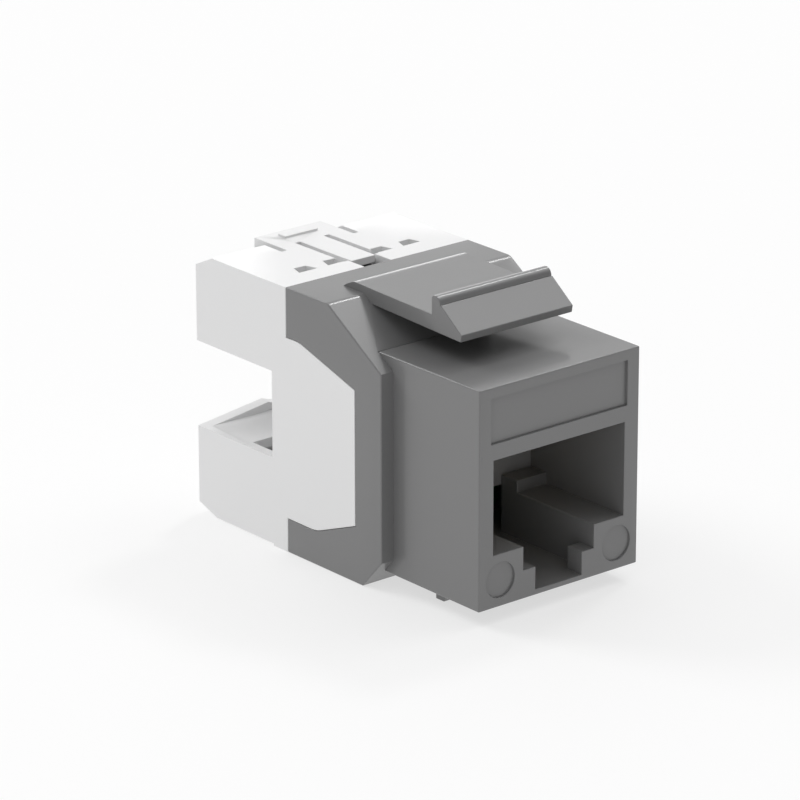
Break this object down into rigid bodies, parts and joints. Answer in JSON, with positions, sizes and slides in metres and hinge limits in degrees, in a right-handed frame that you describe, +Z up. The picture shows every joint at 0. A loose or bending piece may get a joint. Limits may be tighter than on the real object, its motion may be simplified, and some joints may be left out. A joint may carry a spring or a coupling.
{
  "type": "keystone jack",
  "caption": "Snap-in data jack with a modular plug port in a grey housing, a spring latch on top, and a white slide-on wire cap behind.",
  "frame": {"origin": "centre of the bounding box's underside, on the plane that the shroud, cap skirt and lug rest on", "axes": "+Y from the plug port to the cable end, +Z up towards the release latch, +X to the right as seen from the port"},
  "size_m": [0.0166, 0.0296, 0.0216],
  "materials": {
    "grey_plastic": "fine moulded, matt, mid grey",
    "insert_plastic": "fine moulded, matt, mid grey",
    "white_plastic": "fine moulded, matt, white",
    "board": "green lacquered laminate",
    "gold_wire": "gold-plated bronze",
    "plated_blade": "tin-plated bronze"
  },
  "bodies": {
    "jack_body": {"housing": "grey_plastic", "contact_carrier": "insert_plastic", "circuit_board": "board", "terminal_block": "insert_plastic", "contact_lead_1": "gold_wire", "contact_lead_2": "gold_wire", "contact_lead_3": "gold_wire", "contact_lead_4": "gold_wire", "contact_lead_5": "gold_wire", "contact_lead_6": "gold_wire", "contact_lead_7": "gold_wire", "contact_lead_8": "gold_wire", "wire_contact_1": "plated_blade", "wire_contact_2": "plated_blade", "wire_contact_3": "plated_blade", "wire_contact_4": "plated_blade", "wire_contact_5": "plated_blade", "wire_contact_6": "plated_blade", "wire_contact_7": "plated_blade", "wire_contact_8": "plated_blade"},
    "latch": {"release_latch": "grey_plastic"},
    "contact_springs": {"plug_contact_1": "gold_wire", "plug_contact_2": "gold_wire", "plug_contact_3": "gold_wire", "plug_contact_4": "gold_wire", "plug_contact_5": "gold_wire", "plug_contact_6": "gold_wire", "plug_contact_7": "gold_wire", "plug_contact_8": "gold_wire"},
    "cap": {"wire_cap": "white_plastic"},
    "cap_rocker": {"cap_release": "white_plastic"}
  },
  "joints": [
    {"name": "latch_press", "type": "hinge", "parent": "jack_body", "child": "latch", "pos_m": [0, -0.0009, 0.01923], "axis": [1, 0, 0], "range_deg": [0, 9], "stiffness_Nm_per_rad": 0.5},
    {"name": "contacts_lift", "type": "hinge", "parent": "jack_body", "child": "contact_springs", "pos_m": [0, -0.01195, 0.01231], "axis": [1, 0, 0], "range_deg": [0, 12], "stiffness_Nm_per_rad": 0.05},
    {"name": "cap_slide", "type": "slide", "parent": "jack_body", "child": "cap", "axis": [0, 1, 0], "range_m": [0, 0.012]},
    {"name": "rocker_press", "type": "hinge", "parent": "cap", "child": "cap_rocker", "pos_m": [0, 0.01115, 0.01886], "axis": [-1, 0, 0], "range_deg": [0, 5], "stiffness_Nm_per_rad": 0.2}
  ]
}
